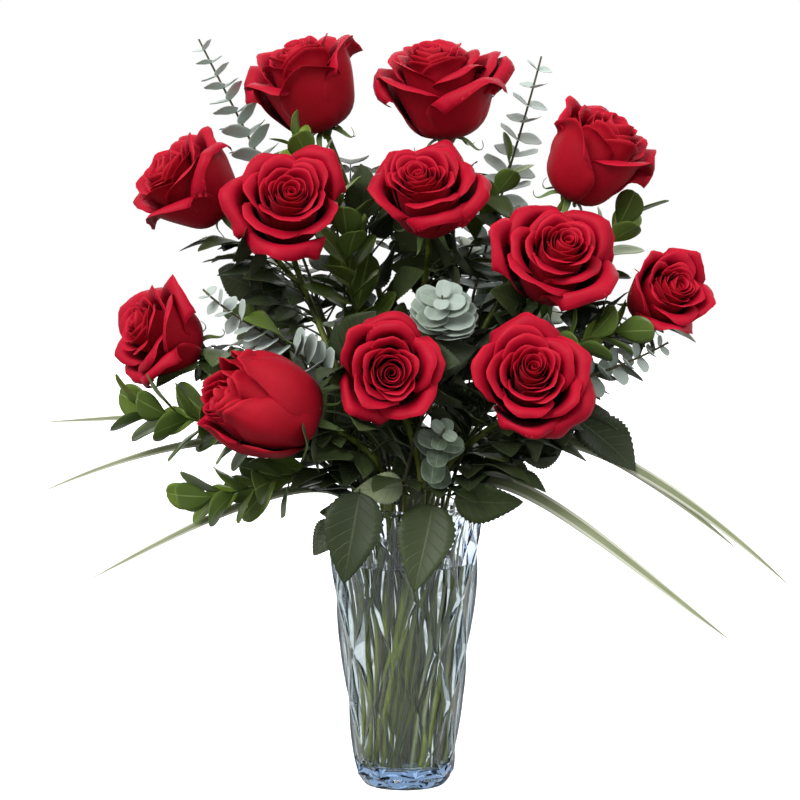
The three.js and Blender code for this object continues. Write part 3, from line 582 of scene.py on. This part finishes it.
petal_look = Look(bpy.data.materials.new("rose_petal_red"))
across, along, layer, upper = blade_parts(petal_look)
cloud = petal_look.noise(55.0, 3.0)
face = petal_look.mix(cloud, (0.32, 0.0015, 0.013), (0.44, 0.003, 0.023))
back = petal_look.mix(cloud, (0.30, 0.003, 0.010), (0.40, 0.006, 0.020))
back = petal_look.mix(along.within(0.45, 0.0) * 0.6, back, (0.12, 0.002, 0.006))
red = petal_look.mix(upper, back, face)
# Painted shade: the inner faces darken toward the root, and more so on the inner petals. A little of this is
# the petal's own deeper red at its base; most of it is painted shade where the folds between the petals keep
# the light out.
clear_of_folds = along + 0.16 * layer
depth = clear_of_folds.within(0.93, 0.64) * upper
red = petal_look.mix(depth * 0.9, red, (0.035, 0.0006, 0.002))
# Painted highlight: a brighter red along the tip and the upper sides of every petal, where the edges catch
# the light.
edge = along.within(0.965, 1.0).math("MAXIMUM", across.size().within(0.95, 1.0) * along.within(0.5, 0.7))
red = petal_look.mix(edge * 0.45, red, (0.62, 0.012, 0.035))
fibres = petal_look.node("TexNoise", {}, {"Scale": 5.0, "Detail": 2.0, "Vector": petal_look.node(
    "CombineXYZ", {}, {"X": across * 14.0, "Y": along * 1.6, "Z": layer * 40.0})}, "Fac")
PETAL_RED = petal_look.finish(surface=petal_look.node("BsdfPrincipled", {}, {
    "Base Color": red, "Roughness": 0.55, "Specular IOR Level": 0.12, "Sheen Weight": 0.06,
    "Sheen Roughness": 0.3, "Sheen Tint": (1.0, 0.3, 0.45, 1.0),
    "Normal": petal_look.bump(fibres, 0.35, 0.0006)}))

standing = []  # (lowest corner, highest corner, tree, whose it is) of all that leaves keep clear of


def stand(owner, points, faces):
    """Notes a surface that the leaves of other owners keep clear of."""
    points = np.asarray(points, float).reshape(-1, 3)
    standing.append((points.min(0), points.max(0), BVHTree.FromPolygons(points.tolist(), faces), owner))


for k, (rose, (base, axes, _)) in enumerate(zip(ROSES, PLACES)):
    size, opened, bloom = rose[2] * FULLNESS[k], rose[3], Growth()
    turn, seed = 2 * math.pi * draw(k + 1), SEEDS.get(k, k)
    drift = turned((1, 0), 40 * draw(k + 500))
    sheets = [(heart_sheet(turn, drift), 0.8)]
    for n in range(PETALS):
        s = n / (PETALS - 1)
        chance = [draw(100 * seed + 7 * n + j) for j in range(4)]
        scatter = PETAL_SCATTER * (draw(31 * seed + n) - 0.5)
        azimuth = turn + math.radians(PETAL_TURN * (PETALS - 1 - n) + scatter)
        sheets.append((petal_sheet(s, opened, azimuth, chance, drift), s))
    for sheet, s in sheets:
        bloom.sheet(base + (sheet * size @ axes), PETAL_THICKNESS, s, thin=0.3)
    stand(NAMES[k], np.concatenate(bloom.points), bloom.faces)
    bloom.piece(f"rose_head_{k + 1:02d}", f"{NAMES[k]}_bloom", "petals", PETAL_RED)


# ---- Rose sepals ----
# Five narrow green sepals hang from the top of each hip, as they do once a rose is open. Each is drawn
# out to a point that curls up again.
SEPALS, SEPAL_ROWS = 5, 16
sepal_look = Look(bpy.data.materials.new("sepal_green"))
across, along, tone, upper = blade_parts(sepal_look)
green = sepal_look.mix(sepal_look.noise(120.0), (0.075, 0.13, 0.02), (0.15, 0.23, 0.045))
green = sepal_look.mix(across.size().within(0.1, 0.0) * 0.5, green, (0.24, 0.33, 0.1))
green = sepal_look.mix(upper * 0.35, green, (0.2, 0.28, 0.14))
SEPAL_GREEN = sepal_look.finish(surface=sepal_look.node("BsdfPrincipled", {}, {
    "Base Color": green, "Roughness": 0.55, "Specular IOR Level": 0.3}))

v = np.linspace(0, 1, SEPAL_ROWS)[:, None]
u = np.linspace(-1, 1, 5)[None, :]
outline = 3.4 * np.sin(math.pi * np.clip(v * 0.9 + 0.28, 0, 1)) ** 0.8 * (1 - v) ** 0.35 + 0.15
for k, (rose, (base, axes, _)) in enumerate(zip(ROSES, PLACES)):
    size, sepals = rose[2], Growth()
    for n in range(SEPALS):
        one, two = draw(90 * k + n + 3000), draw(90 * k + n + 3500)
        length, half = (30 + 9 * one) * size, outline * size
        droop, curl = 1.1 * smooth(v / 0.5) * (0.6 + 0.6 * two), (1.2 + 1.6 * one) * smooth((v - 0.55) / 0.45)
        lean = 1.65 + droop - curl
        r = 4.6 + np.cumsum(np.sin(lean), 0) * length / SEPAL_ROWS
        z = -0.9 + np.cumsum(np.cos(lean), 0) * length / SEPAL_ROWS
        y = half * u + 5 * (one - 0.5) * v ** 2
        a = 2 * math.pi * draw(k + 1) + 2 * math.pi * (n + 0.5) / SEPALS
        grid = np.stack([r * math.cos(a) - y * math.sin(a), r * math.sin(a) + y * math.cos(a),
                         z + 0.3 * half * u ** 2], 2)
        sepals.sheet(base + (grid @ axes), 0.7, one, thin=0.35)
    sepals.piece(f"rose_sepals_{k + 1:02d}", f"{NAMES[k]}_stem", "rose_green", SEPAL_GREEN)


# ---- Rose leaves ----
# Compound leaves grow from the stems: a stalk with a pair of leaflets and a larger one at its end. They
# are dark, leathery and saw-toothed, folded a little along the midrib, with pale sunken veins. Each is
# turned on its stalk until it crosses nothing, and the stems that the front shows are left open.
MORE_LEAVES = [  # beside those in the table of roses: the rose, the share of its stem, the tip, and the tone
    (0, 0.62, (-38, 20, 534), 0.2), (1, 0.55, (-8, 15, 505), 0.3), (8, 0.6, (-130, -80, 402), 1.0),
    (9, 0.25, (-130, -80, 285), 0.3), (3, 0.1, (-95, -85, 262), 0.2), (3, 0.03, (-76, -75, 205), 0.1),
    (10, 0.02, (2, -80, 262), 0.15), (10, 0.12, (60, -84, 250), 0.2), (11, 0.2, (104, -88, 268), 0.2),
    (3, 0.06, (-70, -80, 262), 0.15), (4, 0.2, (0, 80, 252), 0.1), (1, 0.2, (46, 70, 262), 0.1),
    (4, 0.12, (-50, 66, 262), 0.1), (2, 0.2, (-64, 30, 262), 0.1), (7, 0.2, (66, -40, 262), 0.1),
    (5, 0.2, (62, 30, 262), 0.1),
]
SINGLE_LEAVES = [(10, 0.16, (-40, -84, 258), 2.0), (10, 0.12, (97, -75, 245), 0.2)]  # at the rim, face on
OVER_GLASS = 200  # a leaf whose tip hangs lower than this has lost its side pair
SEEN_STEMS = [(3, 0.6), (4, 0.6), (6, 0.7), (7, 0.7), (9, 0.45), (10, 0.28), (11, 0.3)]  # and from where up
BENDS = (0, 0.35, -0.35, 0.7, -0.7, 1.1, -1.1, 1.6, -1.6)  # turns of a leaf on its stalk, in the order tried
LEAFLET_POINTS = (31, 7)
LEAFLET_FORM, SIDE_FORM = (0.22, 0.2, 0.06), (0.2, 0.15, 0.06)  # fold, arch and wave
TEETH = 15
LIMITS = np.array([list(corner) for corner in cad_box]) * 1000  # the object's box, which holds every leaf


def grid_faces(rows, columns):
    k = np.arange(rows * columns).reshape(rows, columns)
    return np.stack([k[:-1, :-1], k[:-1, 1:], k[1:, 1:], k[1:, :-1]], 2).reshape(-1, 4).tolist()


def leaf_sheet(root, ahead, wide, length, half, form, points):
    """A leaf's middle surface. half gives its half width at each share of its length, form how far it is
    folded, arched and waved, and points its rows and columns."""
    (fold, arch, wave), (rows, columns) = form, points
    ahead, wide = unit(ahead), unit(wide - ahead * np.dot(wide, ahead))
    up = np.cross(ahead, wide)
    v = np.linspace(0, 1, rows)[:, None]
    u = np.linspace(-1, 1, columns)[None, :]
    width = half(v)
    rise = fold * width * np.abs(u) ** 1.4 - arch * length * v ** 2
    rise = rise + wave * width * u ** 2 * np.sin(9 * v + 2 * u)
    steps = zip((ahead, wide, up), (v * length * np.ones_like(u), width * u, rise))
    return sum((axis * step[..., None] for axis, step in steps), np.asarray(root))


def is_clear(owner, points, faces):
    """Whether a surface stays within the object's box and crosses nothing of another owner."""
    points = np.asarray(points, float).reshape(-1, 3)
    low, high = points.min(0) - 0.3, points.max(0) + 0.3
    if (low < LIMITS[0]).any() or (high > LIMITS[1]).any():
        return False
    near = [s for s in standing if s[3] != owner and (s[0] < high).all() and (s[1] > low).all()]
    tree = BVHTree.FromPolygons(points.tolist(), faces) if near else None
    return not any(tree.overlap(s[2]) for s in near)


def bent_clear(owner, sheets_at):
    """The leaf, turned by the first bend at which it crosses nothing, or no leaf."""
    for bend in BENDS:
        sheets = sheets_at(bend)
        if all(is_clear(owner, sheet, grid_faces(*sheet.shape[:2])) for sheet in sheets):
            return sheets
    return []


def put_leaf(growth, owner, sheet, thickness, tone):
    growth.sheet(sheet, thickness, tone)
    stand(owner, sheet, grid_faces(*sheet.shape[:2]))


def spin(vector, axis, angle):
    vector, axis = np.asarray(vector, float), unit(axis)
    return (vector * math.cos(angle) + np.cross(axis, vector) * math.sin(angle)
            + axis * axis.dot(vector) * (1 - math.cos(angle)))


leaf_look = Look(bpy.data.materials.new("rose_leaf_green"))
across, along, tone, upper = blade_parts(leaf_look)
fields = (along * 7.5 - across.size() * 1.7).math("FRACT")
veins = (fields - 0.5).size().within(0.43, 0.5).math("MAXIMUM", across.size().within(0.07, 0.0))
green = leaf_look.mix(tone, (0.025, 0.037, 0.016), (0.098, 0.138, 0.033))
green = leaf_look.mix(leaf_look.noise(60.0).within(0.3, 0.8) * 0.4, green, (0.022, 0.032, 0.011))
green = leaf_look.mix(tone.within(0.6, 1.0), green, (0.12, 0.19, 0.025))
green = leaf_look.mix(tone.within(1.5, 2.0), green, (0.27, 0.32, 0.18))
green = leaf_look.mix(1.0 - upper, green, (0.060, 0.075, 0.038))
green = leaf_look.mix(veins * 0.35, green, (0.10, 0.12, 0.055))
ROSE_LEAF_GREEN = leaf_look.finish(surface=leaf_look.node("BsdfPrincipled", {}, {
    "Base Color": green, "Roughness": 0.48, "Specular IOR Level": 0.25,
    "Normal": leaf_look.bump(1.0 - veins, 0.5, 0.0006)}))


def leaflet_half(wide):
    def half(v):
        teeth = 1 - 0.08 * ((v * TEETH) % 1 > 0.4) * (v < 0.97)
        oval = np.sin(math.pi * np.clip(v, 0, 1) ** 0.75) ** 0.8 * teeth * (1 - 0.25 * v)
        return wide * (oval + 0.012) * 1.13
    return half


def rose_leaf(k, t, tip, tone, single=False):
    """A compound leaf from a share of rose k's stem to its tip, if it can be turned clear of the others."""
    root = ROUTES[NAMES[k]].at(t)
    length, ahead = np.linalg.norm(tip - root), unit(tip - root)
    level, front = unit(np.cross((0, 0, 1), ahead)), unit(np.cross((0, -1, 0), ahead))
    facing = front if single else level + (front - level) * abs(ahead[2])

    def sheets_at(bend):
        wide = unit(spin(facing, ahead, bend))
        up = np.cross(ahead, wide)

        def end_leaflet(start, lift, long, half):
            return leaf_sheet(root + ahead * start * length + up * lift * length, ahead - up * 0.12, wide,
                              long * length, leaflet_half(half * length), LEAFLET_FORM, LEAFLET_POINTS)

        if single or tip[2] < OVER_GLASS:
            return [end_leaflet(0.35, 0.1, 0.65, 0.21)]
        joint = root + ahead * 0.36 * length + up * 0.10 * length
        pair = [leaf_sheet(joint + wide * side * 1.5, ahead * 0.5 + wide * side * 0.9 - up * 0.1,
                           spin(wide, up, side * 1.05), 0.34 * length, leaflet_half(0.125 * length),
                           SIDE_FORM, LEAFLET_POINTS) for side in (1, -1)]
        return [end_leaflet(0.52, 0.12, 0.48, 0.19), *pair]

    sheets = bent_clear(NAMES[k], sheets_at)
    if sheets:
        stalk = [root + (sheets[0][0, 3] - root) * along + (0, 0, 0.03 * length * math.sin(math.pi * along))
                 for along in np.linspace(0, 1, 7)]
        foliage[k].tube(stalk, np.linspace(1.0, 0.6, 7), 6, tone)
        for sheet in sheets:
            put_leaf(foliage[k], NAMES[k], sheet, 0.5, tone)


VASE_SKIN = [(0, 36), (10, 42.5), (74, 51), (163, 62), (240, 67)]  # heights and radii just outside the cuts
stand("vase", tube_rings([(0, 0, z) for z, _ in VASE_SKIN], 24, [radius for _, radius in VASE_SKIN]),
      tube_walls(len(VASE_SKIN), 24))
for name, route in ROUTES.items():
    radius = 2.6 if name.startswith("rose") else 1.4
    stand(name, tube_rings([route.at(t) for t in np.linspace(0, 1, 9)], 6, [radius] * 9), tube_walls(9, 6))
for k, start in SEEN_STEMS:
    line = np.array([ROUTES[NAMES[k]].at(t) for t in np.linspace(start, 0.97, 7)])
    stand("view", np.stack([line + (0, -3, 0), line + (0, -70, 0)], 1), grid_faces(7, 2))

foliage = [Growth() for _ in ROSES]
for k, rose in enumerate(ROSES):
    for n, (t, tip) in enumerate(rose[4]):
        rose_leaf(k, t, tip, 0.25 * draw(60 * k + n))
for k, t, tip, tone in SINGLE_LEAVES:
    rose_leaf(k, t, tip, tone, single=True)
for k, t, tip, tone in MORE_LEAVES:
    rose_leaf(k, t, tip, tone)


# ---- Eucalyptus ----
# Sprigs with round leaves in opposite pairs, each pair square to the one below. The leaves clasp the thin
# brown stem, are cupped, and have a grey-blue waxy bloom. The pairs get smaller and closer to the tip.
ROUND_POINTS, ROUND_FORM = (13, 9), (0.2, -0.08, 0.03)
TWIG_TONE = -1.0  # the tone by which the sprays' materials know a twig


def outward(direction, turn):
    """The way out of a stem at a turn round it, counted from its front."""
    side = np.array([0.2, -0.9, 0.38])
    side = unit(side - direction * side.dot(direction))
    return side * math.cos(turn) + unit(np.cross(direction, side)) * math.sin(turn)


def twig(growth, route, thick, thin):
    line = route.in_vase(6)[:-1] + [route.at(t) for t in np.linspace(0, 1, 25)]
    radii = np.interp(np.arange(len(line)), (0, 5, len(line) - 1), (thick, thick, thin))
    growth.tube(line, radii, 8, TWIG_TONE)


wax_look = Look(bpy.data.materials.new("eucalyptus_wax"))
across, along, tone, upper = blade_parts(wax_look)
powder = wax_look.noise(180.0, 5.0)
pale = wax_look.mix(tone, (0.085, 0.125, 0.075), (0.44, 0.51, 0.47))
pale = wax_look.mix(powder.within(0.35, 0.75) * 0.25, pale, (0.34, 0.42, 0.35))
pale = wax_look.mix(across.size().within(0.06, 0.0) * 0.4, pale, (0.42, 0.50, 0.40))
pale = wax_look.mix(across.size().within(0.9, 1.0) * 0.3, pale, (0.45, 0.50, 0.44))
pale = wax_look.mix(tone.within(-0.4, -0.6), pale, (0.07, 0.065, 0.03))
EUCALYPTUS_WAX = wax_look.finish(surface=wax_look.node("BsdfPrincipled", {}, {
    "Base Color": pale, "Roughness": 0.68, "Specular IOR Level": 0.3, "Sheen Weight": 0.1,
    "Normal": wax_look.bump(powder, 0.25, 0.0003)}))


def round_half(wide):
    return lambda v: wide * (
        0.86 * np.clip(1 - np.abs(2 * v - 1) ** 2.5, 0, 1) ** 0.45 * (1 - 0.1 * v) + 0.14)


for k, (_, _, bare, pairs, size, paleness, facing) in enumerate(EUCALYPTUS):
    name, sprig = f"eucalyptus_{k + 1}", Growth()
    route = ROUTES[name]
    twig(sprig, route, 1.8, 0.9)
    for n in range(pairs):
        share = (n + 0.5) / pairs
        t = bare + (0.99 - bare) * share
        tangent, length = route.heading(t), size * (1 - 0.62 * share ** 2.2)
        for way in (0, math.pi):
            def sheets_at(bend):
                out = outward(tangent, n * math.pi / 2 + 0.5 + bend + way)
                ahead = out + tangent * (0.08 + 0.3 * draw(n + 50 * k))
                wide = np.cross(tangent + np.array([0, -facing, 0.3 * facing]), out)
                return [leaf_sheet(route.at(t) + out * 0.6, ahead, wide, length,
                                   round_half(0.43 * length), ROUND_FORM, ROUND_POINTS)]

            for sheet in bent_clear(name, sheets_at):
                tone = paleness + 0.3 * (draw(9 * n + k + way) - 0.5) + 0.25 * share
                put_leaf(sprig, name, sheet, 0.55, tone)
    sprig.piece(f"eucalyptus_sprig_{k + 1}", name, "eucalyptus", EUCALYPTUS_WAX)


# ---- Myrtle ----
# Twigs with single leaves in a spiral, oval and widest past the middle, thick and glossy, with a pale
# midrib. Some twigs are a fresh yellow green and others dark, and all are darker low down in the bunch.
OVAL_POINTS, OVAL_FORM = (16, 7), (0.16, 0.09, 0.03)
LOWER_LEAVES = 12  # how many stand on the share that is otherwise bare
gloss_look = Look(bpy.data.materials.new("myrtle_gloss"))
across, along, tone, upper = blade_parts(gloss_look)
green = gloss_look.mix(tone, (0.018, 0.032, 0.008), (0.19, 0.29, 0.03))
green = gloss_look.mix(gloss_look.noise(70.0).within(0.3, 0.8) * 0.4, green, (0.038, 0.060, 0.012))
green = gloss_look.mix((1.0 - upper) * 0.6, green, (0.08, 0.13, 0.035))
rib = across.size().within(0.09, 0.0)
green = gloss_look.mix(rib * 0.6, green, (0.25, 0.34, 0.10))
green = gloss_look.mix(tone.within(-0.4, -0.6), green, (0.05, 0.065, 0.012))
MYRTLE_GLOSS = gloss_look.finish(surface=gloss_look.node("BsdfPrincipled", {}, {
    "Base Color": green, "Roughness": 0.36, "Specular IOR Level": 0.35,
    "Normal": gloss_look.bump(1.0 - rib, 0.4, 0.0005)}))


def oval_half(wide):
    return lambda v: wide * (np.where(v < 0.6, np.sin(math.pi / 1.2 * v) ** 1.15,
                                      np.sqrt(np.clip(1 - ((v - 0.6) / 0.41) ** 2, 0, 1))) + 0.03)


for k, (_, _, bare, leaves, size, light) in enumerate(MYRTLE):
    name, sprig = f"myrtle_{k + 1}", Growth()
    route = ROUTES[name]
    twig(sprig, route, 1.8, 0.7)
    for n in range(-LOWER_LEAVES, leaves):
        share = max(0, (n + 0.5) / leaves)
        t = bare + (0.985 - bare) * share if n >= 0 else bare * (1 + n / (LOWER_LEAVES + 1))
        tangent = route.heading(t)
        length = size * (1 - 0.2 * share) * (0.85 + 0.3 * draw(13 * n + k))

        def sheets_at(bend):
            out = outward(tangent, n * GOLDEN_ANGLE + 0.8 + bend)
            ahead = out * (0.9 - 0.4 * share) + tangent * (0.45 + 0.45 * share)
            return [leaf_sheet(route.at(t) + out * 0.8, ahead, np.cross(tangent, out), length,
                               oval_half(0.32 * length), OVAL_FORM, OVAL_POINTS)]

        for sheet in bent_clear(name, sheets_at):
            tone = light * (n >= 0) + 0.5 * (draw(5 * n + 3 * k) - 0.5) + 0.15 * share
            put_leaf(sprig, name, sheet, 0.5, min(1, max(0, tone)))
    sprig.piece(f"myrtle_sprig_{k + 1}", name, "myrtle", MYRTLE_GLOSS)


# ---- Rose leaves deep in the bunch ----
# The rest of the compound leaves, all the way round each stem, wherever there is room between the others.
FILLERS = 59  # tried on each stem, the longest first

for n in range(FILLERS):
    for k in range(len(ROSES)):
        t = 0.015 + 0.85 * ((n * 11 % FILLERS) / FILLERS) ** 1.2 + 0.04 * draw(77 * k + n)
        route = ROUTES[NAMES[k]]
        heading = route.heading(t)
        out = spin(unit(np.cross(heading, (0.3, 0.2, 0.9))), heading, GOLDEN_ANGLE * (n + 3 * k))
        out = unit(out * np.array([1, 1, 0.4]) + heading * 0.35 + (0, 0, 0.1))
        length = 84 - 0.6 * n + 30 * draw(77 * k + n + 30)
        rose_leaf(k, t, route.at(t) + out * length, 0.5 * draw(77 * k + n + 60))
for k, leaves in enumerate(foliage):
    leaves.piece(f"rose_leaves_{k + 1:02d}", f"{NAMES[k]}_stem", "rose_green", ROSE_LEAF_GREEN)


# ---- Lily grass ----
# Two clumps of three long arching blades, folded along the middle, green with cream edges. Each clump
# stands in the vase on one bundled stem.
BLADE_HALF = (4.2, 6.2)  # half the width of the blades in each clump
BLADE_TAPER = [(0, 0.3), (0.15, 0.75), (0.3, 1), (0.45, 1), (0.6, 0.92), (0.75, 0.7), (0.9, 0.4), (1, 0.03)]
BLADE_ROWS, BLADE_FOLD, BLADE_THICKNESS = 49, 0.28, 0.4
BUNDLE_DEPTH = 12  # how far below the rim the blades part

grass_look = Look(bpy.data.materials.new("striped_grass"))
across = blade_parts(grass_look)[0]
green = grass_look.mix(grass_look.noise(40.0), (0.14, 0.17, 0.08), (0.24, 0.27, 0.15))
stripe = across.size().within(0.42, 0.62)
green = grass_look.mix(stripe, green, (0.52, 0.53, 0.42))
fine = (across * 9.0).math("FRACT").within(0.75, 0.95) * 0.35
green = grass_look.mix(fine, green, (0.34, 0.36, 0.22))
STRIPED_GRASS = grass_look.finish(surface=grass_look.node("BsdfPrincipled", {}, {
    "Base Color": green, "Roughness": 0.45, "Specular IOR Level": 0.35}))

for k, blades in enumerate(GRASS):
    name, clump = f"lily_grass_{k + 1}", Growth()
    route = ROUTES[name]
    clump.tube(route.in_vase(6), [2.1] * 6, 8)
    for tip, heads, rise in blades:
        start, end = route.rim - route.lean * BUNDLE_DEPTH, np.array(tip, float)
        span = np.linalg.norm(end - route.rim)
        t = np.linspace(0, 1, BLADE_ROWS)[:, None]
        line = bezier((start, start + route.lean * rise * span, end - unit(heads) * 0.5 * span, end), t)
        wide = unit(np.cross(end - start, (0, -0.88, 0.47)))
        halves = BLADE_HALF[k] * np.interp(t[:, 0], *zip(*BLADE_TAPER))
        rows = []
        for point, ahead, half in zip(line, map(unit, np.gradient(line, axis=0)), halves):
            out = unit(wide - ahead * wide.dot(ahead))
            up = np.cross(ahead, out)
            rows.append([point + out * half * u + up * BLADE_FOLD * half * abs(u)
                         for u in np.linspace(-1, 1, 7)])
        clump.sheet(np.array(rows), BLADE_THICKNESS, 0.5)
    clump.piece(f"grass_clump_{k + 1}", name, "grass", STRIPED_GRASS)
